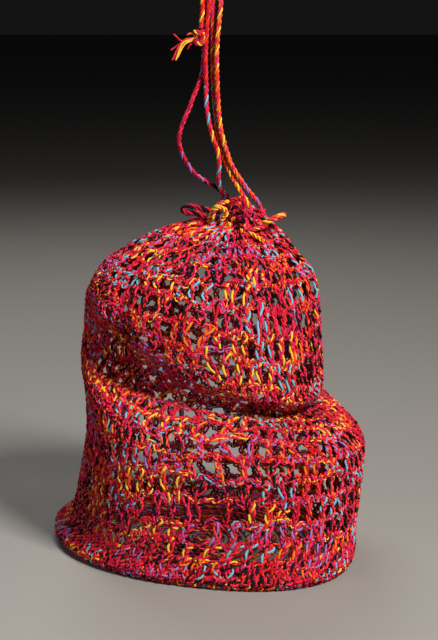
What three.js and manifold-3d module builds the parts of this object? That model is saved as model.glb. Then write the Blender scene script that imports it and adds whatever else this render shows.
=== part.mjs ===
// A drawstring market bag crocheted in one piece, standing full on its closed round base.
// Millimetres, +Z up, origin under the middle of the bag on the surface it stands on, front at -Y.
// The cloth is one shell: a closed base and band, an open mesh wall whose gaps are cut through,
// a tilted crease where the upper tier sags over the lower one, and pleats drawn in at the mouth.
// A doubled drawstring runs round the mouth and its strands rise to the knot that they hang from.

import * as THREE from "three";
import { mergeVertices } from "three/addons/utils/BufferGeometryUtils.js";
import Module from "manifold-3d";

const wasm = await Module();
wasm.setup();

// Middle of the bag in the frame that the tables below are measured in
const MIDDLE = { x: -13.1, y: 11.4 };

// Driving sizes of the cloth
const CLOTH_THICK = 3;
const GAP_COLUMNS = 30;
const FINE_COLUMNS = 2 * GAP_COLUMNS;
const BAR_SHARE_ACROSS = 0.15;
const BAR_SHARE_UP = 0.12;
const PLEATS = 14;

// Driving sizes of the drawstring
const CORD_WIDE = 4.6;
const CORD_SIDES = 8;
const SEAT_GAP = 0.4;
const STRAND_TOP = 541;
const STRAND_STEP = 8;
const BIGHT_STEP = 3;
const RING_STEPS = 30;
const MOUTH_CORD = { x: 18.2, y: 6.2, z: 331.5, half_across: 22.8, half_deep: 15.6 };
const STRAND_FOOT = MOUTH_CORD.z + CORD_WIDE / 2 + SEAT_GAP;
const TAIL_KNOT = { x: -18.5, y: -5, z: 500, width: 9, height: 14, lean: 10 };
const HANGING_KNOT = { x: -6.6, y: 1.8, z: STRAND_TOP + SEAT_GAP, width: 27, height: 23 };
const YARN_WIDE = 1.7;

// Sections of the outside of the cloth, from the middle of the base to the rim.
// row counts crochet rows of the mesh, with 0 at the top of the closed band. x and y are the
// section's middle, west, east, south and north its reach each way, skew how far its right side
// lies in front of its left, and square how far its corners fill out. right, front, left and back
// are its heights there, turn swings its stitches round in degrees, and pleat is the depth of its
// pleats.
const SECTION_COLUMNS = [
  "row", "x", "y", "west", "east", "south", "north", "skew", "square",
  "right", "front", "left", "back", "turn", "pleat",
];
const SECTION_ROWS = [
  [   -9, -15, 20,  -16, -14,   19,  21, -0.27,    2,   0,   0,   0,   0, -12,   0], // base middle
  [   -4, -15, 20, -106,  76,  -80, 112, -0.27,  2.2,   0,   0,   0,   0, -12,   0], // base ring
  [ -1.3, -15, 20, -158, 126, -119, 150, -0.27,  2.3,   0,   0,   0,   0, -11,   0], // base edge
  [-0.75, -15, 20, -169, 133, -126, 157, -0.27,  2.3,  10,   9,   8,   9, -10,   0], // band
  [    0, -14, 18, -151, 134, -121, 147, -0.24, 2.35,  28,  25,  27,  27,  -7,   0], // band top
  [    2, -12, 15, -142, 139, -118, 140, -0.16,  2.4,  64,  60,  66,  64,  -1,   0], // wall
  [  4.8,  -8, 12, -133, 143, -117, 134,  -0.1,  2.5, 112, 120, 130, 124,   1,   0], // shoulder
  [    6,  -6, 10, -133, 129, -106, 128, -0.08,  2.5, 132, 142, 158, 142,   1, 0.5], // shelf edge
  [  7.6,   0,  8, -136, 113,  -74, 124, -0.06,  2.3, 145, 153, 188, 164,   2,   1], // shelf inside
  [    9,   4,  8, -134, 100,  -48, 121, -0.05,  2.1, 150, 157, 212, 178,   2,   1], // crease
  [ 11.6,   4,  6, -130, 102,  -90, 118, -0.04,  2.1, 171, 184, 253, 203,   2,   1], // overhang
  [ 13.6,   6,  6, -124,  99,  -94, 108,     0,  2.1, 215, 227, 266, 240,   1,   2], // belly
  [   16,  12,  6, -109,  89,  -73,  84,     0,    2, 272, 278, 287, 280,   0, 4.5], // upper
  [ 18.6,  16,  6,  -66,  64,  -40,  52,     0,    2, 305, 306, 313, 308,   0,   5], // slope
  [   20,  17,  6,  -32,  54,  -26,  38,     0,    2, 320, 320, 326, 323,   0,   4], // neck
  [ 20.7,  18,  6,  -13,  49,  -18,  30,     0,    2, 331, 329, 331, 333,   0,   2], // cinch
  [ 21.3,  18,  6,  -13,  50,  -19,  31,     0,    2, 334, 335, 336, 341,   0,   3], // rim
];
const SECTIONS = SECTION_ROWS.map((row) => {
  return Object.fromEntries(SECTION_COLUMNS.map((name, i) => [name, row[i]]));
});

// Single folds in the cloth. angle is degrees round from +X (270 is the front), lean is how far
// the fold drifts round from its lowest row to its highest, and out is its height outwards.
const FOLDS = [
  { name: "hollow_left_of_front_load", angle: 204, lean: -4, half_width: 13, from: 0.4, to: 6.8, out: -8 },
  { name: "hollow_left_of_middle", angle: 258, lean: 3, half_width: 9, from: 0.4, to: 6.2, out: -5 },
  { name: "hollow_right_of_middle", angle: 297, lean: 2, half_width: 9, from: 0.4, to: 6.2, out: -6 },
  { name: "hollow_behind_right", angle: 40, lean: 0, half_width: 12, from: 0.4, to: 7.5, out: -6 },
  { name: "hollow_behind_left", angle: 138, lean: 4, half_width: 13, from: 0.4, to: 10.5, out: -7 },
  { name: "pocket_over_left_shelf", angle: 226, lean: -12, half_width: 22, from: 7.4, to: 11.9, out: -16 },
  { name: "ridge_over_pocket", angle: 236, lean: 18, half_width: 14, from: 10.8, to: 18.8, out: 9 },
  { name: "valley_to_left_corner", angle: 207, lean: 20, half_width: 12, from: 12.5, to: 19.5, out: -11 },
  { name: "trough_at_front", angle: 266, lean: -8, half_width: 7, from: 14, to: 20.5, out: -7 },
  { name: "trough_at_right", angle: 318, lean: -6, half_width: 8, from: 13.5, to: 20.5, out: -6 },
  { name: "trough_at_back", angle: 84, lean: 5, half_width: 10, from: 11.5, to: 20.5, out: -8 },
  { name: "trough_behind_left", angle: 150, lean: 6, half_width: 10, from: 11.5, to: 20.5, out: -8 },
];

// Rows of the cloth where the shell's bands meet: closed ones, ones with gaps, closed ones again
const CLOSED_ROWS_LOW = [-4, -2.4, -1.3, -0.75, 0];
const GAP_ROWS = [0, 2, 4, 6, 7.5, 9, 10.6, 12, 14, 16, 18];
const CLOSED_ROWS_HIGH = [18, 19.2, 20, 20.7, 21.3];
const BASE_EDGE_ROW = -1.3;
const RIM_ROW = 21.3;

const radians = THREE.MathUtils.degToRad;

// Slope of one column of the table at a section, flat where the column turns back.
function slopeAt(column, i) {
  if (i === 0 || i === SECTIONS.length - 1) {
    return 0;
  }
  const [below, here, above] = [SECTIONS[i - 1], SECTIONS[i], SECTIONS[i + 1]];
  const lower = (here[column] - below[column]) / (here.row - below.row);
  const upper = (above[column] - here[column]) / (above.row - here.row);
  return lower * upper <= 0 ? 0 : (2 * lower * upper) / (lower + upper);
}

// A column of the table at any row, on a smooth curve that never passes the table's own values.
function sectionValue(column, row) {
  let i = 0;
  while (i < SECTIONS.length - 2 && row > SECTIONS[i + 1].row) {
    i += 1;
  }
  const [a, b] = [SECTIONS[i], SECTIONS[i + 1]];
  const step = b.row - a.row;
  const t = THREE.MathUtils.clamp((row - a.row) / step, 0, 1);
  const [t2, t3] = [t * t, t * t * t];
  return (
    a[column] * (2 * t3 - 3 * t2 + 1) +
    slopeAt(column, i) * step * (t3 - 2 * t2 + t) +
    b[column] * (3 * t2 - 2 * t3) +
    slopeAt(column, i + 1) * step * (t3 - t2)
  );
}

function signedPower(value, power) {
  return Math.sign(value) * Math.abs(value) ** power;
}

// Height of a section at an angle, eased between its heights at the right, front, left and back.
function heightAt(row, angle) {
  const sides = ["right", "front", "left", "back"].map((side) => sectionValue(side, row));
  const [right, front, left, back] = sides;
  const between = (right + left - front - back) / 4;
  return (
    (right + front + left + back) / 4 +
    ((right - left) / 2) * Math.cos(angle) +
    ((back - front) / 2) * Math.sin(angle) +
    between * Math.cos(2 * angle)
  );
}

// How far the folds and pleats push the cloth outwards at a row and an angle in radians.
function foldHeight(row, angle) {
  let out = sectionValue("pleat", row) * Math.cos(PLEATS * angle) * (1 + 0.25 * Math.sin(3 * angle + 1));
  for (const fold of FOLDS) {
    const along = (row - fold.from) / (fold.to - fold.from);
    if (along > 0 && along < 1) {
      const middle = fold.angle + fold.lean * along;
      const away = ((((angle * 180) / Math.PI - middle + 540) % 360) + 360) % 360 - 180;
      out += fold.out * Math.sin(Math.PI * along) * Math.exp(-((away / fold.half_width) ** 2));
    }
  }
  return out;
}

// The outside of the cloth without its folds, at a crochet row and a share of the way round.
function plainPoint(row, share) {
  const angle = 2 * Math.PI * share + radians(sectionValue("turn", row));
  const power = 2 / sectionValue("square", row);
  const across = signedPower(Math.cos(angle), power);
  const deep = signedPower(Math.sin(angle), power);
  const [x, y] = [sectionValue("x", row), sectionValue("y", row)];
  const reachX = across > 0 ? sectionValue("east", row) - x : x - sectionValue("west", row);
  const reachY = deep > 0 ? sectionValue("north", row) - y : y - sectionValue("south", row);
  const skewed = sectionValue("skew", row) * reachX * across * (1 - Math.max(0, deep));
  return new THREE.Vector3(x + reachX * across, y + reachY * deep + skewed, heightAt(row, angle));
}

// The direction out of the cloth without its folds.
function outward(row, share) {
  const step = 0.02;
  const turnStep = 0.004;
  const up = plainPoint(Math.min(row + step, RIM_ROW), share).sub(plainPoint(row - step, share));
  const round = plainPoint(row, share + turnStep).sub(plainPoint(row, share - turnStep));
  return round.cross(up).normalize();
}

// Outside and inside of the cloth at a place. The base is level, so there the thickness is upright.
function clothPair(row, share) {
  const place = plainPoint(row, share);
  const level = row <= BASE_EDGE_ROW;
  const out = level ? new THREE.Vector3(0, 0, -1) : outward(row, share);
  const angle = 2 * Math.PI * share;
  if (!level) {
    const flatOut = new THREE.Vector3(out.x, out.y, out.z * 0.4);
    place.addScaledVector(flatOut, foldHeight(row, angle));
  }
  return { outside: place, inside: place.clone().addScaledVector(out, -CLOTH_THICK) };
}

// Collects triangles of the cloth's two sides
class ClothMesh {
  constructor() {
    this.points = [];
  }

  triangle(a, b, c) {
    this.points.push(a, b, c);
  }

  quad(a, b, c, d) {
    this.triangle(a, b, c);
    this.triangle(a, c, d);
  }

  // A patch of the outside, given anticlockwise as seen from outside, and its twin on the inside.
  patch(...corners) {
    for (let i = 1; i < corners.length - 1; i += 1) {
      this.triangle(corners[0].outside, corners[i].outside, corners[i + 1].outside);
      this.triangle(corners[0].inside, corners[i + 1].inside, corners[i].inside);
    }
  }

  // The cloth's own edge from a to b, with the cloth on the left as seen from outside.
  edge(a, b) {
    this.quad(b.outside, a.outside, a.inside, b.inside);
  }

  geometry() {
    const positions = new Float32Array(this.points.flatMap((p) => [p.x, p.y, p.z]));
    return new THREE.BufferGeometry().setAttribute("position", new THREE.BufferAttribute(positions, 3));
  }
}

const clothPoints = new Map();

// A shared point of the cloth by row and fine column, the same object each time it is asked for.
function clothPoint(row, column) {
  const around = ((column % FINE_COLUMNS) + FINE_COLUMNS) % FINE_COLUMNS;
  const key = row.toFixed(4) + "/" + around.toFixed(4);
  if (!clothPoints.has(key)) {
    clothPoints.set(key, clothPair(row, around / FINE_COLUMNS));
  }
  return clothPoints.get(key);
}

function addClosedBand(cloth, low, high) {
  for (let i = 0; i < FINE_COLUMNS; i += 1) {
    cloth.patch(clothPoint(low, i), clothPoint(low, i + 1), clothPoint(high, i + 1), clothPoint(high, i));
  }
}

// One gap of the mesh between two rows: a frame of cloth round a four-sided hole.
function addGap(cloth, low, high, column) {
  const [left, middle, right] = [column, column + 1, column + 2];
  const [innerLeft, innerRight] = [left + 2 * BAR_SHARE_ACROSS, right - 2 * BAR_SHARE_ACROSS];
  const rise = (high - low) * BAR_SHARE_UP;
  const [holeLow, holeHigh] = [low + rise, high - rise];
  const corner = {
    a: clothPoint(holeLow, innerLeft),
    b: clothPoint(holeLow, innerRight),
    c: clothPoint(holeHigh, innerRight),
    d: clothPoint(holeHigh, innerLeft),
  };
  cloth.patch(clothPoint(low, middle), clothPoint(low, right), corner.b, corner.a, clothPoint(low, left));
  cloth.patch(clothPoint(low, right), clothPoint(high, right), corner.c, corner.b);
  cloth.patch(clothPoint(high, middle), clothPoint(high, left), corner.d, corner.c, clothPoint(high, right));
  cloth.patch(clothPoint(high, left), clothPoint(low, left), corner.a, corner.d);
  cloth.edge(corner.b, corner.a);
  cloth.edge(corner.c, corner.b);
  cloth.edge(corner.d, corner.c);
  cloth.edge(corner.a, corner.d);
}

// Calls make with the two rows of each band and with the band's number.
function eachPair(rows, make) {
  for (let i = 0; i < rows.length - 1; i += 1) {
    make(rows[i], rows[i + 1], i);
  }
}

function clothGeometry() {
  const cloth = new ClothMesh();
  const first = CLOSED_ROWS_LOW[0];
  const middle = new THREE.Vector3(SECTIONS[0].x, SECTIONS[0].y, 0);
  const middlePair = { outside: middle, inside: middle.clone().setZ(CLOTH_THICK) };
  for (let i = 0; i < FINE_COLUMNS; i += 1) {
    cloth.patch(middlePair, clothPoint(first, i + 1), clothPoint(first, i));
  }
  const closed = (low, high) => addClosedBand(cloth, low, high);
  // The gaps of each band stand over the bars of the band below
  const open = (low, high, band) => {
    for (let i = band % 2; i < FINE_COLUMNS; i += 2) {
      addGap(cloth, low, high, i);
    }
  };
  eachPair(CLOSED_ROWS_LOW, closed);
  eachPair(GAP_ROWS, open);
  eachPair(CLOSED_ROWS_HIGH, closed);
  for (let i = 0; i < FINE_COLUMNS; i += 1) {
    cloth.edge(clothPoint(RIM_ROW, i + 1), clothPoint(RIM_ROW, i));
  }
  return cloth.geometry();
}

// Routes of the drawstring's strands, from the bag up to the knot they hang from.
const STRAND_ROUTES = {
  strand_left: [
    [5.6, 19.4, STRAND_FOOT], [5.6, 19.4, 338.5], [4.4, 17.4, 346], [1, 12, 357], [-0.6, 6, 368],
    [0.2, 0.5, 380], [-1, -1.5, 392], [-4.9, -2, 403], [-8.9, -2, 418], [-11.6, -2, 435],
    [-12.2, -1.5, 461], [-12.6, -1.5, 478], [-12, -1.5, 497], [-10.8, -1.5, 515], [-9.4, -1.5, 531],
    [-9.3, -1.5, STRAND_TOP],
  ],
  strand_slack: [
    [11.6, 21.4, STRAND_FOOT], [11.6, 21.4, 338.5], [8.8, 22, 346], [-1, 19.5, 355], [-10.5, 16, 361],
    [-23, 11, 370], [-32.5, 6, 384], [-37, 3, 396], [-38, 1, 405], [-36, 0, 415], [-32.3, 0, 424],
    [-28, 1, 434], [-23.8, 2, 445], [-20.4, 4, 453], [-17.2, 5.5, 461], [-14.5, 6, 478], [-14, 6, 497],
    [-13.8, 6, 515], [-13.1, 5.5, 531], [-13, 5.5, STRAND_TOP],
  ],
  strand_inner: [
    [30, -7.3, STRAND_FOOT], [30, -7.3, 338.5], [26.8, -7.5, 345], [22.5, -5.5, 352], [15, -1.5, 364],
    [7, 2.5, 380], [1, 4.5, 396.7], [-1.5, 5.5, 410], [-3, 5.5, 425], [-4.8, 5.5, 443], [-5.5, 5.5, 461],
    [-5.8, 5.5, 478], [-6, 5.5, 497], [-6, 5.5, 515], [-5.7, 5.5, 531], [-5.6, 5.5, STRAND_TOP],
  ],
  strand_outer: [
    [39.6, 0.4, STRAND_FOOT], [39.6, 0.4, 338.5], [36.8, -3.5, 345], [31, -4.5, 352], [21.3, -3.8, 365],
    [12, -2, 380], [6.2, -1.5, 396.7], [2.5, -1, 410], [0.3, -1, 425], [-1, -1, 443], [-1.8, -1, 461],
    [-2.2, -1, 478], [-1.5, -1, 497], [0.2, -1, 515], [1.8, -1, 531], [2, -1, STRAND_TOP],
  ],
  strand_tail: [
    [-17, -5, 507.4], [-16.6, -5, 511], [-16.1, -5, 516], [-15.6, -5.5, 522], [-15.2, -6, 531],
    [-15.2, -6, STRAND_TOP],
  ],
};

// The bights of drawstring that show outside the mouth, at its left and at its right front.
const BIGHT_ROUTES = {
  bight_left: [
    [-18.5, 2.5, 338.2], [-21.5, 2.4, 338.9], [-26, 1, 340], [-31, -0.5, 339.8], [-34.5, -1.5, 336.6],
    [-31, -2, 333.6], [-26, -1, 332.8], [-21, 1, 332.4], [-16.6, 2, 332.2],
  ],
  bight_right: [
    [40, -18.2, 323.4], [42.4, -21.4, 326.6], [48, -24, 329.6], [55, -23, 332.4], [60.5, -18, 333.6],
    [61, -12, 332.8], [57, -6.5, 331], [51.2, -3.4, 328.4],
  ],
};

function roundSection(width, sides) {
  const section = new THREE.Shape();
  for (let i = 0; i < sides; i += 1) {
    const angle = (2 * Math.PI * i) / sides;
    const [x, y] = [(width / 2) * Math.cos(angle), (width / 2) * Math.sin(angle)];
    if (i === 0) {
      section.moveTo(x, y);
    } else {
      section.lineTo(x, y);
    }
  }
  return section;
}

function cordGeometry(route, width, sides, step) {
  const points = route.map((point) => new THREE.Vector3(...point));
  const path = new THREE.CatmullRomCurve3(points, false, "centripetal");
  const steps = Math.ceil(path.getLength() / step);
  const run = { extrudePath: path, steps, bevelEnabled: false };
  return new THREE.ExtrudeGeometry(roundSection(width, sides), run);
}

// The run of drawstring just inside the mouth: a ring pushed out to follow the cloth there.
function mouthCordGeometry() {
  const round = MOUTH_CORD.half_deep;
  const ring = new THREE.TorusGeometry(round, CORD_WIDE / 2, CORD_SIDES, RING_STEPS);
  const points = ring.attributes.position;
  for (let i = 0; i < points.count; i += 1) {
    const point = new THREE.Vector3().fromBufferAttribute(points, i);
    const shift = (MOUTH_CORD.half_across - round) * (point.x / Math.hypot(point.x, point.y));
    points.setX(i, point.x + shift);
  }
  return ring.translate(MOUTH_CORD.x, MOUTH_CORD.y, MOUTH_CORD.z);
}

// A knot as a plump turned form with its tucks as shallow waists, its flat foot at z 0
function knotGeometry(width, height, sides) {
  const shares = [
    [0, 0], [0.62, 0], [0.86, 0.12], [0.98, 0.26], [0.93, 0.4],
    [1, 0.55], [0.92, 0.72], [0.68, 0.9], [0.3, 1], [0, 1],
  ];
  const points = shares.map(([out, up]) => new THREE.Vector2((out * width) / 2, up * height));
  return new THREE.LatheGeometry(points, sides).rotateX(Math.PI / 2);
}

function solidOf(geometry) {
  const bare = geometry.index ? geometry.toNonIndexed() : geometry.clone();
  bare.deleteAttribute("normal");
  bare.deleteAttribute("uv");
  const merged = mergeVertices(bare, 1e-3);
  return new wasm.Manifold(
    new wasm.Mesh({
      numProp: 3,
      vertProperties: merged.attributes.position.array,
      triVerts: new Uint32Array(merged.index.array),
    }),
  );
}

function geometryOf(solid) {
  const mesh = solid.getMesh();
  return new THREE.BufferGeometry()
    .setAttribute("position", new THREE.BufferAttribute(new Float32Array(mesh.vertProperties), 3))
    .setIndex(new THREE.BufferAttribute(new Uint32Array(mesh.triVerts), 1));
}

// The loose yarn ends below the tail's knot: where each bends and ends, from the knot's middle.
const YARN_ENDS = [
  { name: "upper_end", bend: [-13, 1, 1], tip: [-26, 0, 6] },
  { name: "far_left_end", bend: [-13, 0, -4], tip: [-30, 1, -14] },
  { name: "middle_end", bend: [-12, -2, -4], tip: [-25, -3, -22] },
  { name: "yellow_end", bend: [-11, -3, -5], tip: [-22, -4, -23] },
  { name: "second_yellow_end", bend: [-10, -1, -7], tip: [-20, -1, -20] },
  { name: "short_end", bend: [-8, 2, -6], tip: [-13, 3, -11] },
];

// The tail's knot with its yarn ends rooted in it
function tailKnotGeometry() {
  const { x, y, z, width, height, lean } = TAIL_KNOT;
  const knot = knotGeometry(width, height, 14)
    .translate(0, 0, -height / 2)
    .rotateY(radians(lean))
    .translate(x, y, z);
  let solid = solidOf(knot);
  for (const end of YARN_ENDS) {
    const route = [
      [x - 1, y, z],
      [x + end.bend[0] / 2, y + end.bend[1] / 2, z + end.bend[2] / 2],
      [x + end.bend[0], y + end.bend[1], z + end.bend[2]],
      [x + end.tip[0], y + end.tip[1], z + end.tip[2]],
    ];
    solid = solid.add(solidOf(cordGeometry(route, YARN_WIDE, 4, 6)));
  }
  return geometryOf(solid);
}

function hangingKnotGeometry() {
  const { x, y, z, width, height } = HANGING_KNOT;
  return knotGeometry(width, height, 20).translate(x, y, z);
}

const bagCloth = new THREE.MeshStandardMaterial({ color: 0xb5243c, roughness: 0.85, metalness: 0 });
const cordYarn = new THREE.MeshStandardMaterial({ color: 0xc22a3a, roughness: 0.8, metalness: 0 });

const bag = new THREE.Group();

function place(name, geometry, material) {
  const mesh = new THREE.Mesh(geometry.translate(-MIDDLE.x, -MIDDLE.y, 0), material);
  mesh.name = name;
  bag.add(mesh);
}

place("bag_cloth", clothGeometry(), bagCloth);
place("mouth_cord", mouthCordGeometry(), cordYarn);
for (const [name, route] of Object.entries(BIGHT_ROUTES)) {
  place(name, cordGeometry(route, CORD_WIDE, CORD_SIDES, BIGHT_STEP), cordYarn);
}
for (const [name, route] of Object.entries(STRAND_ROUTES)) {
  place(name, cordGeometry(route, CORD_WIDE, CORD_SIDES, STRAND_STEP), cordYarn);
}
place("tail_knot", tailKnotGeometry(), cordYarn);
place("hanging_knot", hangingKnotGeometry(), cordYarn);

export default bag;
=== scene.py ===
"""A drawstring market bag crocheted in variegated cotton, standing full and drawn shut."""

import math

import bpy
import numpy as np
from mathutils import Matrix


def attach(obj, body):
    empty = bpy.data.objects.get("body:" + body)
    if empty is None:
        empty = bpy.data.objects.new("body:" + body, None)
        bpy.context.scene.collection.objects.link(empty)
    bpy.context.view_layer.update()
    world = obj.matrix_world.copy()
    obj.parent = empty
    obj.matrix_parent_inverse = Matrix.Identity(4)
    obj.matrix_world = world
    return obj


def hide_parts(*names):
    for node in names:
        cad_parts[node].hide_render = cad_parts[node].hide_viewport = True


# Lengths below are in millimetres, and points are given from the photograph's upright middle line.
# MIDDLE is then taken off, which puts the middle of the whole bag on the frame's upright axis.
MM = 0.001
MIDDLE = np.array([-13.1, 11.4, 0])
chance = np.random.default_rng(11)

# The cloth's shape

# Sections of the outside of the cloth, from the middle of the base to the rim, by crochet row.
# x and y are the section's middle, west, east, south and north its reach each way, skew how far
# its right side lies in front of its left, and square how far its corners fill out. right, front,
# left and back are its heights there, turn swings its stitches round, and pleat is its folds' depth.
SECTION_COLUMNS = [
    "row", "x", "y", "west", "east", "south", "north", "skew", "square",
    "right", "front", "left", "back", "turn", "pleat",
]
SECTIONS = np.array([
    [-9, -15, 20, -16, -14, 19, 21, -0.27, 2, 0, 0, 0, 0, -12, 0],
    [-4, -15, 20, -106, 76, -80, 112, -0.27, 2.2, 0, 0, 0, 0, -12, 0],
    [-1.3, -15, 20, -158, 126, -119, 150, -0.27, 2.3, 0, 0, 0, 0, -11, 0],
    [-0.75, -15, 20, -169, 133, -126, 157, -0.27, 2.3, 10, 9, 8, 9, -10, 0],
    [0, -14, 18, -151, 134, -121, 147, -0.24, 2.35, 28, 25, 27, 27, -7, 0],
    [2, -12, 15, -142, 139, -118, 140, -0.16, 2.4, 64, 60, 66, 64, -1, 0],
    [4.8, -8, 12, -133, 143, -117, 134, -0.1, 2.5, 112, 120, 130, 124, 1, 0],
    [6, -6, 10, -133, 129, -106, 128, -0.08, 2.5, 132, 142, 158, 142, 1, 0.5],
    [7.6, 0, 8, -136, 113, -74, 124, -0.06, 2.3, 145, 153, 188, 164, 2, 1],
    [9, 4, 8, -134, 100, -48, 121, -0.05, 2.1, 150, 157, 212, 178, 2, 1],
    [11.6, 4, 6, -130, 102, -90, 118, -0.04, 2.1, 171, 184, 253, 203, 2, 1],
    [13.6, 6, 6, -124, 99, -94, 108, 0, 2.1, 215, 227, 266, 240, 1, 2],
    [16, 12, 6, -109, 89, -73, 84, 0, 2, 272, 278, 287, 280, 0, 4.5],
    [18.6, 16, 6, -66, 64, -40, 52, 0, 2, 305, 306, 313, 308, 0, 5],
    [20, 17, 6, -32, 54, -26, 38, 0, 2, 320, 320, 326, 323, 0, 4],
    [20.7, 18, 6, -13, 49, -18, 30, 0, 2, 331, 329, 331, 333, 0, 2],
    [21.3, 18, 6, -13, 50, -19, 31, 0, 2, 334, 335, 336, 341, 0, 3],
])
BASE_EDGE_ROW = -1.3
BAND_TOP_ROW = 0
RIM_ROW = 21.3
PLEATS = 14

# Single folds in the cloth: degrees round from +X (270 is the front), how far each drifts round
# from its lowest row to its highest, its half width, its rows, and its height outwards.
FOLDS = [
    # angle, lean, half_width, from, to, out
    (204, -4, 13, 0.4, 6.8, -8),
    (258, 3, 9, 0.4, 6.2, -5),
    (297, 2, 9, 0.4, 6.2, -6),
    (40, 0, 12, 0.4, 7.5, -6),
    (138, 4, 13, 0.4, 10.5, -7),
    (226, -12, 22, 7.4, 11.9, -16),
    (236, 18, 14, 10.8, 18.8, 9),
    (207, 20, 12, 12.5, 19.5, -11),
    (266, -8, 7, 14, 20.5, -7),
    (318, -6, 8, 13.5, 20.5, -6),
    (84, 5, 10, 11.5, 20.5, -8),
    (150, 6, 10, 11.5, 20.5, -8),
]


def section_slopes(values):
    """Slopes at each section for a smooth curve through its values that never overshoots them."""
    steps = np.diff(values) / np.diff(SECTIONS[:, 0])
    slopes = np.zeros(len(values))
    for i in range(1, len(values) - 1):
        if steps[i - 1] * steps[i] > 0:
            slopes[i] = 2 * steps[i - 1] * steps[i] / (steps[i - 1] + steps[i])
    return slopes


SLOPES = {name: section_slopes(SECTIONS[:, i]) for i, name in enumerate(SECTION_COLUMNS)}


def section_value(name, row):
    """One column of the section table at any row."""
    rows = SECTIONS[:, 0]
    values = SECTIONS[:, SECTION_COLUMNS.index(name)]
    slopes = SLOPES[name]
    i = np.clip(np.searchsorted(rows, row, side="right") - 1, 0, len(rows) - 2)
    gap = rows[i + 1] - rows[i]
    t = np.clip((row - rows[i]) / gap, 0, 1)
    start = values[i] * (2 * t**3 - 3 * t**2 + 1) + slopes[i] * gap * (t**3 - 2 * t**2 + t)
    end = values[i + 1] * (3 * t**2 - 2 * t**3) + slopes[i + 1] * gap * (t**3 - t**2)
    return start + end


def plain_point(row, share):
    """A point on the outside of the cloth without its folds. share goes once round from +X."""
    angle = 2 * np.pi * share + np.radians(section_value("turn", row))
    power = 2 / section_value("square", row)
    across = np.sign(np.cos(angle)) * np.abs(np.cos(angle)) ** power
    along = np.sign(np.sin(angle)) * np.abs(np.sin(angle)) ** power
    x, y = section_value("x", row), section_value("y", row)
    wide = np.where(across > 0, section_value("east", row) - x, x - section_value("west", row))
    deep = np.where(along > 0, section_value("north", row) - y, y - section_value("south", row))
    right, front, left, back = (section_value(name, row) for name in ("right", "front", "left", "back"))
    height = (
        (right + front + left + back) / 4
        + (right - left) / 2 * np.cos(angle)
        + (back - front) / 2 * np.sin(angle)
        + (right + left - front - back) / 4 * np.cos(2 * angle)
    )
    skew = section_value("skew", row) * wide * across * (1 - np.maximum(0, along))
    return np.stack([x + wide * across, y + deep * along + skew, height], -1)


def unit(vectors):
    return vectors / np.maximum(np.linalg.norm(vectors, axis=-1, keepdims=True), 1e-9)


def outward(row, share):
    up = plain_point(np.minimum(row + 0.02, RIM_ROW), share) - plain_point(row - 0.02, share)
    round_it = plain_point(row, share + 0.004) - plain_point(row, share - 0.004)
    return unit(np.cross(round_it, up))


def fold_height(row, share):
    angle = 2 * np.pi * share
    height = section_value("pleat", row) * np.cos(PLEATS * angle) * (1 + 0.25 * np.sin(3 * angle + 1))
    for middle, lean, half_width, lowest, highest, out in FOLDS:
        along = (row - lowest) / (highest - lowest)
        away = (np.degrees(angle) - middle - lean * along + 540) % 360 - 180
        inside = (along > 0) & (along < 1)
        rise = np.sin(np.pi * np.clip(along, 0, 1)) * np.exp(-((away / half_width) ** 2))
        height = height + np.where(inside, out * rise, 0)
    return np.where(row > BASE_EDGE_ROW, height, 0)


# How the stitches wander from even rows and columns: waves round the bag, turn per row, start,
# rows up and shares round
WANDER = [
    (7, 1.9, 0.4, 0.08, 0.0018),
    (13, -2.3, 1.9, 0.09, 0.0020),
    (19, 3.1, 4.4, 0.09, 0.0022),
    (29, -2.7, 2.8, 0.07, 0.0018),
]


def wander(row, share):
    """Where uneven work puts a point of an even net. The rim and the foot hardly wander."""
    held = np.clip((row - BAND_TOP_ROW) / 1.5, 0, 1) * np.clip((RIM_ROW - row) / 3, 0.15, 1)
    moved_row, moved_share = row, share
    for waves, per_row, first, rows, shares in WANDER:
        angle = 2 * np.pi * waves * share + per_row * row + first
        moved_row = moved_row + held * rows * np.sin(angle)
        moved_share = moved_share + held * shares * np.cos(angle + 0.7 * row)
    return moved_row, moved_share


# The gathers of the mouth: waves round it, turn per row, start, depth inwards and rise
GATHERS = [
    (9, 0.3, 0.5, 7.0, 2.2),
    (14, -0.4, 1.7, 5.0, 1.6),
    (5, 0.2, 2.9, 3.0, 2.4),
]
GATHER_ROW = 19.6
# How far in and down the cord draws the left and right ends of the mouth
MOUTH_END_IN = 8
MOUTH_END_DOWN = 5


def gathered(row, share, points):
    """Points near the mouth, pushed in towards its middle where the cloth is gathered."""
    near = np.clip((row - GATHER_ROW) / (RIM_ROW - GATHER_ROW), 0, 1)
    inwards = np.stack([section_value("x", row), section_value("y", row), points[..., 2]], -1) - points
    reach = np.linalg.norm(inwards, axis=-1)
    push = np.zeros_like(near)
    rise = np.zeros_like(near)
    for waves, per_row, first, deep, high in GATHERS:
        angle = 2 * np.pi * waves * share + per_row * row + first
        push = push + deep * (0.5 - 0.5 * np.cos(angle))
        rise = rise + high * np.sin(angle + 1.1)
    ends = np.cos(2 * np.pi * share) ** 2
    push = np.minimum((push + MOUTH_END_IN * ends) * near, 0.6 * reach)
    rise = rise - MOUTH_END_DOWN * ends
    moved = points + unit(inwards) * push[..., None]
    moved[..., 2] = moved[..., 2] + rise * near**2
    return moved


def cloth_point(row, share, out=0):
    """A point out from the middle of the cloth's thickness, and the cloth's outward direction."""
    row, share, out = np.broadcast_arrays(*(np.asarray(a, float) for a in (row, share, out)))
    row, share = wander(row, share)
    normal = outward(row, share)
    folded = plain_point(row, share) + normal * [1, 1, 0.4] * fold_height(row, share)[..., None]
    return gathered(row, share, folded + normal * (out - CLOTH_DEEP)[..., None]), normal


# Yarn

# The yarn is worked with three strands held together
STRANDS = 3
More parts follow.
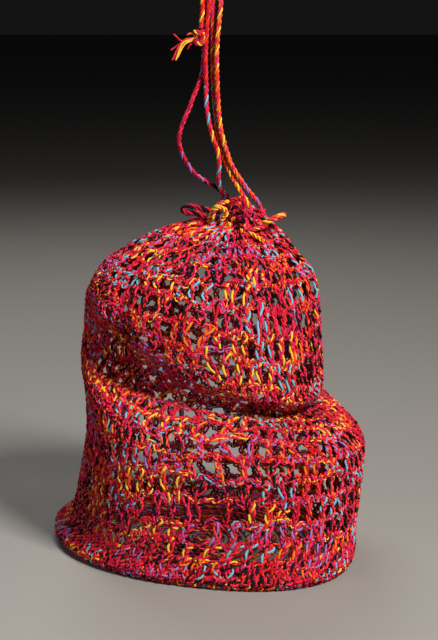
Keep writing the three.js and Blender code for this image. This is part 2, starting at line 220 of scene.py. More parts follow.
# Where the dyes of each part of the work start along the yarn
BAR_START = 1300.0
BASE_START = 60000
BAND_START = 90000
BAND_EDGE_START = 140000
RIM_START = 190000
HANGING_KNOT_START = 21000
TAIL_KNOT_START = 24000
BRIGHT_LOOP_START = 31000
DARK_LOOP_START = 37000
# Yarn that goes into one stitch: a whole number of turns of the singles in a strand
YARN_PER_STITCH = 84.0

YARN_WIDE = 2.45
YARN_FLAT = 0.85
YARN_SIDES = 5
CLOTH_DEEP = 2.2
# Just under one, so that a strand's own number can be read from the whole part of its map
ROUND_SHARE = 0.996


class YarnMesh:
    """Round yarns gathered into one mesh, with a map that runs along each yarn and round it."""

    def __init__(self, name):
        self.name = name
        self.points = []
        self.faces = []
        self.corners = []
        self.count = 0

    def add(
        self,
        lines,
        out,
        wide=YARN_WIDE,
        sides=YARN_SIDES,
        start=0.0,
        strand=0,
        flat=1.0,
        closed=False,
        worked=1,
    ):
        """Adds yarns along lines (yarn, point, xyz), each with its outward directions.
        flat is how deep a yarn is for its width. start and strand say how it is dyed, and worked is
        how many steps pass before the yarn has been through the rest of a stitch."""
        yarns, steps = lines.shape[:2]
        if closed:
            ahead = np.roll(lines, -1, axis=1) - np.roll(lines, 1, axis=1)
            gaps = np.linalg.norm(np.roll(lines, -1, axis=1) - lines, axis=-1)
            length = np.concatenate([np.zeros((yarns, 1)), np.cumsum(gaps, axis=1)], axis=1)
        else:
            ahead = np.gradient(lines, axis=1)
            gaps = np.linalg.norm(np.diff(lines, axis=1), axis=-1)
            length = np.concatenate([np.zeros((yarns, 1)), np.cumsum(gaps, axis=1)], axis=1)
        length = length + np.reshape(start, (-1, 1))
        across = unit(np.cross(unit(ahead), out))
        level = np.cross(across, unit(ahead))
        turn = np.arange(sides) * 2 * np.pi / sides
        radius = np.broadcast_to(np.asarray(wide, float) / 2, (yarns, steps))[..., None, None]
        ring = flat * np.cos(turn)[:, None] * level[:, :, None] + np.sin(turn)[:, None] * across[:, :, None]
        self.points.append((lines[:, :, None] + radius * ring).reshape(-1, 3))
        spans = steps if closed else steps - 1
        yarn, step, side = np.meshgrid(np.arange(yarns), np.arange(spans), np.arange(sides), indexing="ij")
        after = (step + 1) % steps
        beside = (side + 1) % sides

        def corner(s, d):
            return self.count + (yarn * steps + s) * sides + d

        near_pair = [corner(step, side), corner(step, beside)]
        far_pair = [corner(after, beside), corner(after, side)]
        quads = np.stack(near_pair + far_pair, -1)
        used = 0 if worked == 1 else step // worked * YARN_PER_STITCH
        begin, end = length[yarn, step] + used, length[yarn, step + 1] + used
        low = strand + ROUND_SHARE * side / sides
        high = strand + ROUND_SHARE * (side + 1) / sides
        corners = np.stack([begin, low, begin, high, end, high, end, low], -1)
        self.faces.append(quads.reshape(-1, 4))
        self.corners.append(corners.reshape(-1, 2))
        if not closed:
            self._add_ends(yarns, steps, sides, length, strand)
        self.count += yarns * steps * sides

    def _add_ends(self, yarns, steps, sides, length, strand):
        first = self.count + np.arange(yarns)[:, None] * steps * sides
        around = np.arange(sides)[None, :]
        for start, order in ((first, around[:, ::-1]), (first + (steps - 1) * sides, around)):
            face = start + order
            self.faces.append(face)
            place = length[:, 0 if start is first else -1]
            turned = strand + order / sides * ROUND_SHARE
            corners = np.stack(np.broadcast_arrays(place[:, None], turned), -1)
            self.corners.append(corners.reshape(-1, 2))

    def build(self, floor=0.15):
        points = np.concatenate(self.points) - MIDDLE
        points[:, 2] = np.maximum(points[:, 2], floor)
        sizes = np.concatenate([np.full(len(faces), faces.shape[1]) for faces in self.faces])
        loops = np.concatenate([faces.ravel() for faces in self.faces])
        corners = np.concatenate(self.corners)
        mesh = bpy.data.meshes.new(self.name)
        mesh.vertices.add(len(points))
        mesh.vertices.foreach_set("co", (points * MM).astype(np.float32).ravel())
        mesh.loops.add(len(loops))
        mesh.loops.foreach_set("vertex_index", loops.astype(np.int32))
        mesh.polygons.add(len(sizes))
        first_loops = np.concatenate([[0], np.cumsum(sizes)[:-1]])
        mesh.polygons.foreach_set("loop_start", first_loops.astype(np.int32))
        mesh.update(calc_edges=True)
        lay = mesh.uv_layers.new(name="yarn")
        lay.uv.foreach_set("vector", (corners * [MM, 1]).astype(np.float32).ravel())
        mesh.shade_smooth()
        piece = bpy.data.objects.new(self.name, mesh)
        bpy.context.scene.collection.objects.link(piece)
        return piece


def along_route(route, step):
    """Evenly spaced points on the smooth line through a route's points."""
    points = np.array(route, float)
    points = np.vstack([2 * points[0] - points[1], points, 2 * points[-1] - points[-2]])
    fine = []
    for p0, p1, p2, p3 in zip(points, points[1:], points[2:], points[3:]):
        knots = np.cumsum([0] + [np.linalg.norm(b - a) ** 0.5 for a, b in ((p0, p1), (p1, p2), (p2, p3))])
        t = np.linspace(knots[1], knots[2], 12, endpoint=False)[:, None]
        a1 = (knots[1] - t) / (knots[1] - knots[0]) * p0 + (t - knots[0]) / (knots[1] - knots[0]) * p1
        a2 = (knots[2] - t) / (knots[2] - knots[1]) * p1 + (t - knots[1]) / (knots[2] - knots[1]) * p2
        a3 = (knots[3] - t) / (knots[3] - knots[2]) * p2 + (t - knots[2]) / (knots[3] - knots[2]) * p3
        b1 = (knots[2] - t) / (knots[2] - knots[0]) * a1 + (t - knots[0]) / (knots[2] - knots[0]) * a2
        b2 = (knots[3] - t) / (knots[3] - knots[1]) * a2 + (t - knots[1]) / (knots[3] - knots[1]) * a3
        fine.append((knots[2] - t) / (knots[2] - knots[1]) * b1 + (t - knots[1]) / (knots[2] - knots[1]) * b2)
    fine = np.vstack(fine + [points[-2:-1]])
    return evenly(fine, step)


def evenly(points, step):
    length = np.concatenate([[0], np.cumsum(np.linalg.norm(np.diff(points, axis=0), axis=1))])
    places = np.linspace(0, length[-1], max(2, int(round(length[-1] / step)) + 1))
    return np.stack([np.interp(places, length, points[:, i]) for i in range(3)], -1)


def carried_frames(points, closed=False):
    """Two directions across a line at each of its points, carried along it without twisting."""
    if closed:
        ahead = unit(np.roll(points, -1, 0) - np.roll(points, 1, 0))
    else:
        ahead = unit(np.gradient(points, axis=0))
    first = np.cross(ahead[0], [0.3, 1, 0.2])
    sides = [first / np.linalg.norm(first)]
    for direction in ahead[1:]:
        side = sides[-1] - direction * np.dot(sides[-1], direction)
        sides.append(side / np.linalg.norm(side))
    sides = np.array(sides)
    return sides, np.cross(ahead, sides)


def add_rope(target, points, plies, ply_wide, spread, lay, start=0.0, closed=False, taper=None):
    """Plies wound round a line: spread is their distance from it, lay the length of one full turn."""
    side, other = carried_frames(points, closed)
    gaps = np.linalg.norm(np.diff(points, axis=0), axis=1)
    length = np.concatenate([[0], np.cumsum(gaps)])
    if closed:
        whole = length[-1] + np.linalg.norm(points[0] - points[-1])
        turn = length / whole * 2 * np.pi * round(whole / lay)
    else:
        turn = length / lay * 2 * np.pi
    reach = spread if taper is None else spread * taper[:, None]
    for ply in range(plies):
        angle = (turn + 2 * np.pi * ply / plies)[:, None]
        out = np.cos(angle) * side + np.sin(angle) * other
        lines = (points + reach * out)[None]
        wide = ply_wide if taper is None else ply_wide * taper[None]
        target.add(lines, out[None], wide, start=start + 470.0 * ply, strand=ply % STRANDS, closed=closed)


# The camera

CAMERA_PLACE = (0.0131, -1.4804, 0.52)
CAMERA_DOWN = 11.2
CAMERA_LENS = 86.7


def add_camera():
    camera = bpy.data.objects.new("camera", bpy.data.cameras.new("camera"))
    bpy.context.scene.collection.objects.link(camera)
    camera.location = CAMERA_PLACE
    camera.rotation_euler = (math.radians(90 - CAMERA_DOWN), 0, 0)
    camera.data.lens = CAMERA_LENS
    camera.data.clip_end = 120
    bpy.context.scene.camera = camera


# The drawstring

CORD_PLIES = 3
PLY_WIDE = 2.5
PLY_SPREAD = 1.3
CORD_LAY = 17.0
CORD_STEP = 1.9
# Where nothing pulls on it, the cord swells
BIGHT_FATTER = 1.25
STRAND_TOP = 541
MOUTH_CORD = {"x": 18.2, "y": 6.2, "z": 331.5, "half_across": 22.8, "half_deep": 15.6}
STRAND_FOOT = 334.2

STRAND_ROUTES = {
    "strand_left": [
        (5.6, 19.4, STRAND_FOOT), (5.6, 19.4, 338.5), (4.4, 17.4, 346), (1, 12, 357), (-0.6, 6, 368),
        (0.2, 0.5, 380), (-1, -1.5, 392), (-4.9, -2, 403), (-8.9, -2, 418), (-11.6, -2, 435),
        (-12.2, -1.5, 461), (-12.6, -1.5, 478), (-12, -1.5, 497), (-10.8, -1.5, 515), (-9.4, -1.5, 531),
        (-9.3, -1.5, STRAND_TOP),
    ],
    "strand_slack": [
        (11.6, 21.4, STRAND_FOOT), (11.6, 21.4, 338.5), (8.8, 22, 346), (-1, 19.5, 355), (-10.5, 16, 361),
        (-23, 11, 370), (-32.5, 6, 384), (-37, 3, 396), (-38, 1, 405), (-36, 0, 415), (-32.3, 0, 424),
        (-28, 1, 434), (-23.8, 2, 445), (-20.4, 4, 453), (-17.2, 5.5, 461), (-14.5, 6, 478),
        (-14, 6, 497), (-13.8, 6, 515), (-13.1, 5.5, 531), (-13, 5.5, STRAND_TOP),
    ],
    "strand_inner": [
        (30, -7.3, STRAND_FOOT), (30, -7.3, 338.5), (26.8, -7.5, 345), (22.5, -5.5, 352), (15, -1.5, 364),
        (7, 2.5, 380), (1, 4.5, 396.7), (-1.5, 5.5, 410), (-3, 5.5, 425), (-4.8, 5.5, 443), (-5.5, 5.5, 461),
        (-5.8, 5.5, 478), (-6, 5.5, 497), (-6, 5.5, 515), (-5.7, 5.5, 531), (-5.6, 5.5, STRAND_TOP),
    ],
    "strand_outer": [
        (39.6, 0.4, STRAND_FOOT), (39.6, 0.4, 338.5), (36.8, -3.5, 345), (31, -4.5, 352), (21.3, -3.8, 365),
        (12, -2, 380), (6.2, -1.5, 396.7), (2.5, -1, 410), (0.3, -1, 425), (-1, -1, 443), (-1.8, -1, 461),
        (-2.2, -1, 478), (-1.5, -1, 497), (0.2, -1, 515), (1.8, -1, 531), (2, -1, STRAND_TOP),
    ],
    "strand_tail": [
        (-17, -5, 507.4), (-16.6, -5, 511), (-16.1, -5, 516), (-15.6, -5.5, 522), (-15.2, -6, 531),
        (-15.2, -6, STRAND_TOP),
    ],
}
BIGHT_ROUTES = {
    "bight_left": [
        (-3, 3, 333), (-11, 2.5, 336), (-18.5, 2.5, 338.2), (-21.5, 2.4, 338.9), (-26, 1, 340),
        (-31, -0.5, 339.8), (-34.5, -1.5, 336.6),
        (-31, -2, 334.2), (-26, -1, 333.8), (-21, 1, 333.2), (-16.6, 2, 331.2), (-8, 3, 327),
    ],
    "bight_right": [
        (40, -18.2, 323.4), (42.4, -21.4, 326.6), (48, -24, 329.6), (55, -23, 332.4), (60.5, -18, 333.6),
        (61, -12, 332.8), (57, -6.5, 331), (51.2, -3.4, 328.4),
    ],
}
# Where each strand's colours start along the yarn, so that neighbours differ
YARN_STARTS = {
    "strand_left": 400, "strand_slack": 2300, "strand_inner": 5100, "strand_outer": 7600, "strand_tail": 9900,
    "bight_left": 12600, "bight_right": 14200, "mouth_cord": 16000,
}


def corded_piece(name, points, closed=False, fatter=1.0):
    rope = YarnMesh("twisted_" + name)
    spread = PLY_SPREAD * fatter
    add_rope(rope, points, CORD_PLIES, PLY_WIDE * fatter, spread, CORD_LAY, YARN_STARTS[name], closed)
    return rope.build()


def add_strands():
    """The free strands of the drawstring by name, each with its path in metres."""
    made = {}
    for name, route in STRAND_ROUTES.items():
        points = along_route(route, CORD_STEP)
        piece = corded_piece(name, points)
        made[name] = (piece, (points - MIDDLE) * MM)
    return made


def declare_strands(strands):
    for name, (piece, path) in strands.items():
        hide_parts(name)


def add_bights():
    """The drawstring where it shows as loops outside the mouth."""
    made = {}
    for name, route in BIGHT_ROUTES.items():
        made[name] = corded_piece(name, along_route(route, CORD_STEP), fatter=BIGHT_FATTER)
    return made


def add_mouth_cord():
    """The drawstring's run inside the mouth, as a ring."""
    angle = np.linspace(0, 2 * np.pi, 64, endpoint=False)
    x = MOUTH_CORD["x"] + MOUTH_CORD["half_across"] * np.cos(angle)
    y = MOUTH_CORD["y"] + MOUTH_CORD["half_deep"] * np.sin(angle)
    points = np.stack([x, y, np.full(64, MOUTH_CORD["z"])], -1)
    return corded_piece("mouth_cord", points, closed=True)


# Knots and loose ends

HANGING_KNOT = {"x": -6.6, "y": 1.8, "z": 541.4, "width": 27, "height": 23}
TAIL_KNOT = {"x": -18.5, "y": -5, "z": 500, "width": 9, "height": 14, "lean": 10}
END_WIDE = 1.8
# Loose yarn ends of the tail: where each bends and ends, from the knot's middle, where its colours
# start along the yarn, and its strand of the yarn
YARN_ENDS = [
    ((-16, 1, -4), (-24, 0, 2.5), 330, 0),
    ((-15, 0, -5), (-27, 1, -12.7), 720, 1),
    ((-16, -2, -5), (-25.4, -3, -21.8), 1450, 0),
    ((-15, -3, -5.5), (-22, -4, -21.8), 2080, 2),
    ((-13.5, -2, -7), (-20.5, -2, -19.5), 2610, 2),
    ((-14, -1, -3), (-23.5, -1, -20.5), 4100, 1),
    ((-9, 1, -8), (-11, 2, -11.8), 3300, 0),
    ((-8, 0, 3), (-11.5, 1, 1.5), 5200, 2),
]


def overhand_line(width, height, count):
    """The line of an overhand knot drawn tight, closed on itself, about the origin."""
    t = np.linspace(0, 2 * np.pi, count, endpoint=False)
    x = np.sin(t) + 2 * np.sin(2 * t)
    y = np.cos(t) - 2 * np.cos(2 * t)
    z = -np.sin(3 * t)
    return np.stack([z * width / 2.6, x * width / 6, y * height / 6], -1)


def add_hanging_knot():
    """The knot that gathers the strands above the view."""
    knot = YarnMesh("gathering_knot")
    middle = np.array([HANGING_KNOT["x"], HANGING_KNOT["y"], HANGING_KNOT["z"] + HANGING_KNOT["height"] / 2])
    line = overhand_line(HANGING_KNOT["width"] - 6, HANGING_KNOT["height"] - 5, 90) + middle
    add_rope(knot, line, 3, 4.4, 2.5, 40, HANGING_KNOT_START, closed=True)
    return knot.build()


def add_tail_knot():
    """The tail's knot with its loose yarn ends rooted in it."""
    knot = YarnMesh("tail_knot_and_ends")
    middle = np.array([TAIL_KNOT["x"], TAIL_KNOT["y"], TAIL_KNOT["z"]])
    line = overhand_line(TAIL_KNOT["width"], TAIL_KNOT["height"] - 1, 60) + middle
    add_rope(knot, line, 3, 2.5, 1.4, 14, TAIL_KNOT_START, closed=True)
    for bend, tip, start, strand in YARN_ENDS:
        bend, tip = np.array(bend), np.array(tip)
        route = [middle + (-1, 0, 0), middle + bend / 2, middle + bend, middle + tip]
        points = along_route(route, 1.6)
        side, _ = carried_frames(points)
        knot.add(points[None], side[None], END_WIDE, start=start, strand=strand)
    return knot.build()


# Crochet

WALES = 60
STITCH_WIDE = 15.0
POST_REACH = 2.6
POST_DEEP = 1.2
POST_STEPS = 9
BAR_REACH = 1.9
BAR_DEEP = 1.0
BAR_ZIGZAG = 0.155
BAR_YARN = 1.75
BAR_STEPS = 8
BAR_CROSSINGS = 1.5
# How far a post reaches over the bars at its two ends, in rows
POST_GRIP = 0.06


def braid(turn, strand, strands):
    """Where a strand of a twist of two or a braid of three lies, across and out."""
    phase = 2 * np.pi * (turn + strand / strands)
    return np.sin(phase), np.sin(2 * phase) if strands == 3 else np.cos(phase)


def braided_line(row, share, turn, strand, strands, reach, deep, squeeze):
    """A braid's strand along a line on the cloth, and the cloth's outward direction there."""
    middle, normal = cloth_point(row, share)
    round_it = unit(cloth_point(row, share + 0.002)[0] - cloth_point(row, share - 0.002)[0])
    ahead = unit(np.gradient(middle, axis=1))
    across = unit(np.cross(normal, ahead))
    sideways, out = braid(turn, strand, strands)
    swing = across * (reach * squeeze * sideways)[..., None]
    return middle + swing + normal * (deep * out)[..., None], normal


def stitch_width(row, share):
    """How wide one stitch is at a place on the cloth."""
    half = 0.5 / WALES
    return np.linalg.norm(cloth_point(row, share + half)[0] - cloth_point(row, share - half)[0], axis=-1)


def squeeze_at(row, share):
    """How much narrower stitches are where the cloth is drawn in."""
    return np.clip((stitch_width(row, share) / STITCH_WIDE) ** 0.7, 0.4, 1.05)


def post_share(row_index):
    """Where a row's posts stand round the bag. Each row stands between the posts of the one below."""
    return (np.arange(WALES) + 0.5 * (row_index % 2)) / WALES


def add_posts(target, rows):
    for row_index in rows:
        along = np.linspace(0, 1, POST_STEPS)[None]
        lean = chance.normal(0, 0.0012, (WALES, 1))
        bow = chance.normal(0, 0.0009, (WALES, 1))
        share = post_share(row_index)[:, None] + lean * (along - 0.5) + bow * np.sin(np.pi * along)
        row = row_index - POST_GRIP + (1 + 2 * POST_GRIP) * along + 0 * share
        squeeze = squeeze_at(row, share)
        plaits = chance.uniform(0.95, 1.25, (WALES, 1))
        shift = chance.uniform(-0.12, 0.12, (WALES, 1))
        fatness = chance.uniform(0.92, 1.08, (WALES, 1))
        for strand in range(STRANDS):
            turn = shift + plaits * along
            lines, out = braided_line(row, share, turn, strand, STRANDS, POST_REACH, POST_DEEP, squeeze)
            start = (row_index * WALES + np.arange(WALES)) * YARN_PER_STITCH
            target.add(lines, out, YARN_WIDE * fatness, start=start, strand=strand, flat=YARN_FLAT)


def add_bars(target, rows):
    steps = BAR_STEPS * WALES
    share = np.arange(steps)[None] / steps
    for row_index in rows:
        heads = 0.5 * ((row_index - 1) % 2)
        row = row_index + 0.85 * BAR_ZIGZAG * np.cos(2 * np.pi * (WALES * share - heads))
        row = row + 0.03 * np.sin(2 * np.pi * (7 * share + 0.37 * row_index))
        squeeze = np.ones_like(share)
        for strand in range(STRANDS):
            turn = BAR_CROSSINGS * WALES * share
            lines, out = braided_line(row, share, turn, strand, STRANDS, BAR_REACH, BAR_DEEP, squeeze)
            start = row_index * WALES * YARN_PER_STITCH + BAR_START
            dyed = {"start": start, "strand": strand, "worked": BAR_STEPS}
            target.add(lines, out, BAR_YARN, flat=YARN_FLAT, closed=True, **dyed)


# The close rounds at the foot: their rows, and the stitches in each
BAND_ROWS = [-1.24, -0.94, -0.62, -0.28, 0.06]
BAND_STITCHES = 88
BAND_REACH = 2.9
BAND_YARN = 2.35
BAND_LEAN = 0.45


def add_band(target):
    """The close rounds at the foot, whose short stitches stand on the last round's."""
    for i, (lower, upper) in enumerate(zip(BAND_ROWS, BAND_ROWS[1:])):
        along = np.linspace(0, 1, 6)[None]
        lean = BAND_LEAN * (1 if i % 2 else -1) + chance.normal(0, 0.25, (BAND_STITCHES, 1))
        places = np.arange(BAND_STITCHES)[:, None] + 0.5 * (i % 2) + chance.normal(0, 0.1, (BAND_STITCHES, 1))
        share = (places + lean * (along - 0.5)) / BAND_STITCHES
        grip = chance.uniform(0.1, 0.35, (BAND_STITCHES, 1))
        row = lower + (upper - lower) * (along * (1 + 2 * grip) - grip)
        shift = chance.uniform(0, 1, (BAND_STITCHES, 1))
        proud = 1.2 * np.sin(np.pi * along)[..., None]
        for strand in range(STRANDS):
            turn = shift + 0.7 * along
            lines, out = braided_line(row, share, turn, strand, STRANDS, BAND_REACH, 1.0, np.ones_like(share))
            start = BAND_START + (i * BAND_STITCHES + np.arange(BAND_STITCHES)) * YARN_PER_STITCH
            target.add(lines + out * proud, out, BAND_YARN, start=start, strand=strand, flat=0.85)
    for i, level in enumerate((BAND_ROWS[0], BAND_ROWS[2], BAND_ROWS[-1])):
        steps = 5 * BAND_STITCHES
        share = np.arange(steps)[None] / steps
        row = level + 0.04 * np.sin(2 * np.pi * (BAND_STITCHES / 2 * share + 0.31 * i))
        for strand in range(2):
            turn = BAND_STITCHES * share + 0.29 * i
            lines, out = braided_line(row, share, turn, strand, 2, 1.6, 0.8, np.ones_like(share))
            start = BAND_EDGE_START + 8000 * i
            dyed_as = (i + 2 * strand) % STRANDS
            target.add(lines, out, BAND_YARN, 4, start, dyed_as, flat=0.8, closed=True, worked=5)


# The last rounds: row, reach across and out of the plait, and stitches
RIM_ROUNDS = [(20.72, 2.0, 1.5, 44), (21.08, 2.3, 1.8, 40), (21.3, 1.7, 1.6, 36)]


def add_rim(target):
    """The last rounds, gathered into a knobbly edge."""
    for i, (level, reach, deep, stitches) in enumerate(RIM_ROUNDS):
        steps = 6 * stitches
        share = np.arange(steps)[None] / steps
        row = level + 0.05 * np.sin(2 * np.pi * (stitches / 2 * share + 0.3 * i))
        for strand in range(STRANDS):
            turn = stitches * share + 0.2 * i
            lines, out = braided_line(row, share, turn, strand, STRANDS, reach, deep, np.ones_like(share))
            start = RIM_START + 5000 * i
            target.add(lines, out, 2.9, start=start, strand=strand, flat=0.85, closed=True, worked=6)


# Slack stitches that stand out round the mouth, each as a short run of the plaited yarn
BRIGHT_LOOPS = [
    [(-10, -12, 326), (-6, -17, 338), (0, -18, 344), (8, -16, 346), (13, -12, 342)],
    [(-7, -16, 330), (-3, -21, 340), (4, -22, 341), (7, -22, 336), (2, -20, 329)],
    [(24, -20, 325), (27, -24, 320), (35, -25, 322), (42, -22, 323)],
    [(28, -27, 318), (36, -29, 315), (42, -29, 310)],
]
DARK_LOOPS = [
    [(10, -16, 340), (13, -18, 348), (20, -18, 349), (25, -17, 343), (23, -19, 336)],
    [(12, -18, 335), (16, -20, 343), (22, -20, 341)],
    [(18, -21, 331), (23, -23, 338), (26, -24, 333)],
]
LOOP_YARN = 2.3
LOOP_SPREAD = 1.35
LOOP_LAY = 13.0


def add_loops(name, routes, start):
    """Slack stitches along their routes, in one piece."""
    loops = YarnMesh(name)
    for i, route in enumerate(routes):
        add_rope(loops, along_route(route, 1.5), STRANDS, LOOP_YARN, LOOP_SPREAD, LOOP_LAY, start + 900 * i)
    return loops.build()


BASE_ROUND_GAP = 7.8
BASE_YARN_WIDE = 3.2


def add_base(target):
    """The closed base: rounds of thick yarn worked outwards from its middle."""
    rows = np.linspace(-8.9, BASE_EDGE_ROW - 0.05, 400)
    reach = (section_value("east", rows) - section_value("west", rows)) / 2
    rounds = int((reach[-1] - reach[0]) / BASE_ROUND_GAP)
    for i, level in enumerate(np.interp(np.linspace(reach[0], reach[-1], rounds), reach, rows)):
        around = 2 * np.pi * np.interp(level, rows, reach)
        steps = max(10, int(around / 3))
        stitches = max(2, int(around / 9))
        share = np.arange(steps)[None] / steps
        middle, _ = cloth_point(level, share)
        ahead = unit(np.roll(middle, -1, 1) - np.roll(middle, 1, 1))
        across = np.cross(ahead, [0, 0, 1])
        up = np.broadcast_to([0.0, 0.0, 1.0], across.shape)
        for strand in range(2):
            phase = 2 * np.pi * (stitches * share + strand / 2 + 0.3 * i)
            lines = middle + across * (1.7 * np.sin(phase))[..., None]
            lines[..., 2] = 1.7 + 0.5 * np.cos(phase)
            start = BASE_START + 900 * i
            dyed_as = (strand + i) % STRANDS
            target.add(lines, up, BASE_YARN_WIDE, 4, start, dyed_as, flat=0.6, closed=True, worked=3)


# The crochet in pieces, each with the rows of its posts and bars
NET_PIECES = {
    "lower_net": (range(0, 4), range(1, 5)),
    "shelf_net": (range(4, 9), range(5, 10)),
    "crease_net": (range(9, 14), range(10, 15)),
    "dome_net": (range(14, 19), range(15, 20)),
}


def add_net():
    made = {"closed_foot": YarnMesh("closed_foot")}
    add_base(made["closed_foot"])
    add_band(made["closed_foot"])
    for name, (post_rows, bar_rows) in NET_PIECES.items():
        net = YarnMesh(name)
        add_posts(net, post_rows)
        add_bars(net, bar_rows)
        made[name] = net
    neck = YarnMesh("gathered_neck")
    add_posts(neck, range(19, 21))
    add_bars(neck, range(20, 21))
    add_rim(neck)
    made["gathered_neck"] = neck
    return {name: net.build() for name, net in made.items()}


# Yarn finish

# The yarn's dyes
DYES = {
    "crimson": (0.560, 0.007, 0.026),
    "pink": (0.760, 0.026, 0.130),
    "plum": (0.260, 0.008, 0.070),
    "red_orange": (0.800, 0.050, 0.014),
    "orange": (0.860, 0.200, 0.012),
    "yellow": (0.900, 0.520, 0.045),
    "light_blue": (0.190, 0.470, 0.620),
    "lavender": (0.360, 0.180, 0.480),
    "black": (0.008, 0.003, 0.007),
}
# Shares of each dye in the two main strands of a yarn, and in its third strand
PALETTES = {
    "cloth": (
        {
            "crimson": 0.33, "pink": 0.30, "red_orange": 0.16, "orange": 0.05, "plum": 0.07,
            "black": 0.09,
        },
        {
            "black": 0.30, "yellow": 0.20, "orange": 0.12, "light_blue": 0.14, "lavender": 0.12,
            "crimson": 0.12,
        },
    ),
    "crimson_cord": (
        {"crimson": 0.40, "red_orange": 0.38, "pink": 0.22},
        {"light_blue": 0.22, "yellow": 0.20, "crimson": 0.36, "orange": 0.22},
    ),
    "pink_cord": (
        {"pink": 0.42, "crimson": 0.38, "plum": 0.20},
        {"lavender": 0.30, "black": 0.28, "crimson": 0.42},
    ),
    "bright_cord": (
        {"pink": 0.46, "red_orange": 0.28, "orange": 0.26},
        {"yellow": 0.34, "orange": 0.22, "light_blue": 0.14, "lavender": 0.14, "pink": 0.16},
    ),
    "tail": (
        {"pink": 0.42, "crimson": 0.33, "red_orange": 0.25},
        {"yellow": 0.84, "orange": 0.16},
    ),
    "dark_cord": (
        {"crimson": 0.52, "plum": 0.28, "red_orange": 0.20},
        {"black": 0.66, "crimson": 0.34},
    ),
    "yellow_cord": (
        {"yellow": 0.34, "orange": 0.26, "pink": 0.24, "red_orange": 0.16},
        {"yellow": 0.46, "pink": 0.30, "lavender": 0.10, "black": 0.14},
    ),
}
# How far a strand runs in one colour, in metres
MAIN_RUN = 0.034
ACCENT_RUN = 0.240
CORD_ACCENT_RUN = 0.042
# Which palette each part of the drawstring shows
CORD_PALETTES = {
    "strand_left": "crimson_cord", "strand_slack": "pink_cord", "strand_inner": "bright_cord",
    "strand_outer": "bright_cord", "strand_tail": "crimson_cord", "bight_left": "dark_cord",
    "bight_right": "yellow_cord", "mouth_cord": "crimson_cord", "hanging_knot": "crimson_cord",
    "tail_knot": "tail",
}
# Fine singles wound in each strand
SINGLES = 3
SINGLE_LAY = 0.006


def dye_ramp(nodes, shares):
    ramp = nodes.new("ShaderNodeValToRGB")
    ramp.color_ramp.interpolation = "CONSTANT"
    place = 0.0
    for i, (dye, share) in enumerate(shares.items()):
        stop = ramp.color_ramp.elements[i] if i < 2 else ramp.color_ramp.elements.new(place)
        stop.position = place
        stop.color = (*DYES[dye], 1)
        place += share
    return ramp


def yarn_material(palette, accent_run):
    """Strands dyed in runs along the yarn, each with a fine twist, and painted shade darkening the grooves
    between its singles.
    """
    main_shares, accent_shares = PALETTES[palette]
    material = bpy.data.materials.new("variegated_" + palette)
    material.use_nodes = True
    nodes, links = material.node_tree.nodes, material.node_tree.links
    shader = nodes["Principled BSDF"]

    def maths(operation, first, second=None):
        node = nodes.new("ShaderNodeMath")
        node.operation = operation
        for socket, value in ((0, first), (1, second)):
            if isinstance(value, (int, float)):
                node.inputs[socket].default_value = value
            elif value is not None:
                links.new(value, node.inputs[socket])
        return node.outputs[0]

    def dyed(along, run, strand, shares):
        spot = nodes.new("ShaderNodeCombineXYZ")
        shifted = maths("ADD", maths("DIVIDE", along, run), maths("MULTIPLY", strand, 0.37))
        links.new(maths("FLOOR", shifted), spot.inputs[0])
        links.new(strand, spot.inputs[1])
        noise = nodes.new("ShaderNodeTexWhiteNoise")
        noise.noise_dimensions = "2D"
        links.new(spot.outputs[0], noise.inputs["Vector"])
        ramp = dye_ramp(nodes, shares)
        links.new(noise.outputs["Value"], ramp.inputs[0])
        return ramp.outputs[0]

    def mixed(blend, factor, first, second):
        node = nodes.new("ShaderNodeMix")
        node.data_type = "RGBA"
        node.blend_type = blend
        if isinstance(factor, (int, float)):
            node.inputs["Factor"].default_value = factor
        else:
            links.new(factor, node.inputs["Factor"])
        links.new(first, node.inputs["A"])
        links.new(second, node.inputs["B"])
        return node.outputs["Result"]

    lay = nodes.new("ShaderNodeUVMap")
    lay.uv_map = "yarn"
    split = nodes.new("ShaderNodeSeparateXYZ")
    links.new(lay.outputs[0], split.inputs[0])
    along, around = split.outputs[0], split.outputs[1]
    strand = maths("FLOOR", around)
    wound = maths("MULTIPLY", maths("ADD", around, maths("DIVIDE", along, SINGLE_LAY)), SINGLES)
    single_number = maths("FLOORED_MODULO", maths("FLOOR", wound), SINGLES)
    own_number = maths("ADD", strand, maths("MULTIPLY", single_number, 5))
    main = dyed(along, MAIN_RUN, own_number, main_shares)
    accent = dyed(along, accent_run, strand, accent_shares)
    colour = mixed("MIX", maths("GREATER_THAN", strand, 1.5), main, accent)

    across = maths("ABSOLUTE", maths("SUBTRACT", maths("MULTIPLY", maths("FRACT", wound), 2), 1))
    single = maths("SUBTRACT", 1, maths("POWER", across, 3))
    # Painted shade: the dye colour is darkened down to 0.3 towards the edges of each single, where the
    # grooves between the singles fall into shade
    painted_groove_shade = nodes.new("ShaderNodeMapRange")
    painted_groove_shade.inputs["To Min"].default_value = 0.3
    painted_groove_shade.inputs["To Max"].default_value = 1.0
    links.new(single, painted_groove_shade.inputs["Value"])
    painted_shade_colour = nodes.new("ShaderNodeCombineColor")
    for channel in range(3):
        links.new(painted_groove_shade.outputs[0], painted_shade_colour.inputs[channel])
    links.new(mixed("MULTIPLY", 1.0, colour, painted_shade_colour.outputs[0]), shader.inputs["Base Color"])

    bump = nodes.new("ShaderNodeBump")
    bump.inputs["Strength"].default_value = 0.7
    bump.inputs["Distance"].default_value = 0.0003
    links.new(single, bump.inputs["Height"])
    links.new(bump.outputs[0], shader.inputs["Normal"])
    shader.inputs["Roughness"].default_value = 0.8
    shader.inputs["Specular IOR Level"].default_value = 0.25
    shader.inputs["Sheen Weight"].default_value = 0.04
    shader.inputs["Sheen Roughness"].default_value = 0.5
    return material


# Floor and light

FLOOR_COLOUR = (0.29, 0.28, 0.265, 1)
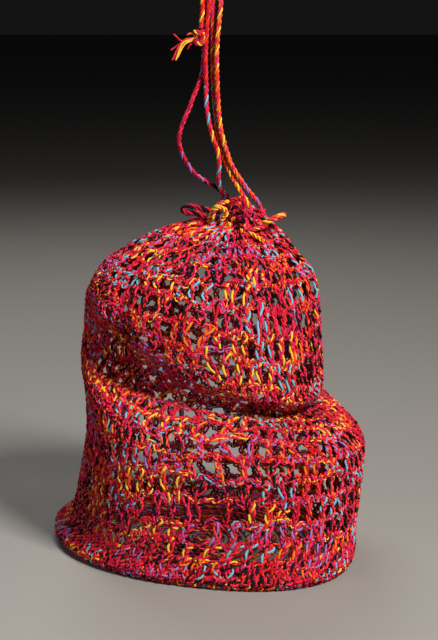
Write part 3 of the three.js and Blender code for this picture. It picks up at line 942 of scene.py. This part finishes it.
# Soft lights: place in metres, size, power, colour
LIGHTS = {
    "key_light": ((1.1, -1.5, 1.7), 0.55, 80, (1.0, 0.97, 0.93)),
    "fill_light": ((-1.7, -1.3, 1.0), 1.8, 10, (0.94, 0.96, 1.0)),
    "back_light": ((-0.5, 1.6, 1.9), 1.3, 18, (1.0, 0.98, 0.95)),
}
AIM = (0, 0, 0.2)
WORLD_COLOUR = (0.90, 0.90, 0.92, 1)
WORLD_STRENGTH = 0.012


def add_floor():
    bpy.ops.mesh.primitive_plane_add(size=80, location=(0, 0, 0))
    floor = bpy.context.object
    floor.name = "floor"
    material = bpy.data.materials.new("grey_floor")
    material.use_nodes = True
    shader = material.node_tree.nodes["Principled BSDF"]
    shader.inputs["Base Color"].default_value = FLOOR_COLOUR
    shader.inputs["Roughness"].default_value = 0.6
    floor.data.materials.append(material)


def add_lights():
    world = bpy.data.worlds.new("studio")
    world.use_nodes = True
    background = world.node_tree.nodes["Background"]
    background.inputs["Color"].default_value = WORLD_COLOUR
    background.inputs["Strength"].default_value = WORLD_STRENGTH
    bpy.context.scene.world = world
    for name, (place, size, power, colour) in LIGHTS.items():
        data = bpy.data.lights.new(name, "AREA")
        data.size = size
        data.energy = power
        data.color = colour
        light = bpy.data.objects.new(name, data)
        bpy.context.scene.collection.objects.link(light)
        light.location = place
        aim = np.array(AIM) - np.array(place)
        level = math.hypot(aim[0], aim[1])
        light.rotation_euler = (math.atan2(level, -aim[2]), 0, math.atan2(aim[1], aim[0]) - math.pi / 2)


def set_view():
    """The plain view transform, with more contrast for deeper shadows."""
    bpy.context.scene.view_settings.view_transform = "Standard"
    bpy.context.scene.view_settings.look = "Medium High Contrast"


# The whole bag


def finish_piece(piece, material):
    piece.data.materials.append(material)
    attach(piece, "root")


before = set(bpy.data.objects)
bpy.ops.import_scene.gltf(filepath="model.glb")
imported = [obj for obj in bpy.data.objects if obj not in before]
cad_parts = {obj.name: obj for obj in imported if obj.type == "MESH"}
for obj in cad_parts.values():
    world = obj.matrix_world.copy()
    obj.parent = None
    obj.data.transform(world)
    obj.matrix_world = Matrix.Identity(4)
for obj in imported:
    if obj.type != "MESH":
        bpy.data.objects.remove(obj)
bpy.ops.object.select_all(action="DESELECT")
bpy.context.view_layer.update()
add_camera()

strands = add_strands()
bights = add_bights()
mouth_cord = add_mouth_cord()
hanging_knot = add_hanging_knot()
tail_knot = add_tail_knot()
net = add_net()

loops = {
    "yellow_cord": add_loops("bright_loops", BRIGHT_LOOPS, BRIGHT_LOOP_START),
    "dark_cord": add_loops("dark_loops", DARK_LOOPS, DARK_LOOP_START),
}
cloth_yarn = yarn_material("cloth", ACCENT_RUN)
cord_yarns = {name: yarn_material(name, CORD_ACCENT_RUN) for name in PALETTES if name != "cloth"}
for piece in net.values():
    finish_piece(piece, cloth_yarn)
    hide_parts("bag_cloth")
for palette, piece in loops.items():
    finish_piece(piece, cord_yarns[palette])
    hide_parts("bag_cloth")
corded = {"mouth_cord": mouth_cord, "hanging_knot": hanging_knot, "tail_knot": tail_knot, **bights}
for name, piece in corded.items():
    finish_piece(piece, cord_yarns[CORD_PALETTES[name]])
    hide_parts(name)
for name, (piece, _) in strands.items():
    finish_piece(piece, cord_yarns[CORD_PALETTES[name]])
declare_strands(strands)

add_floor()
add_lights()
set_view()
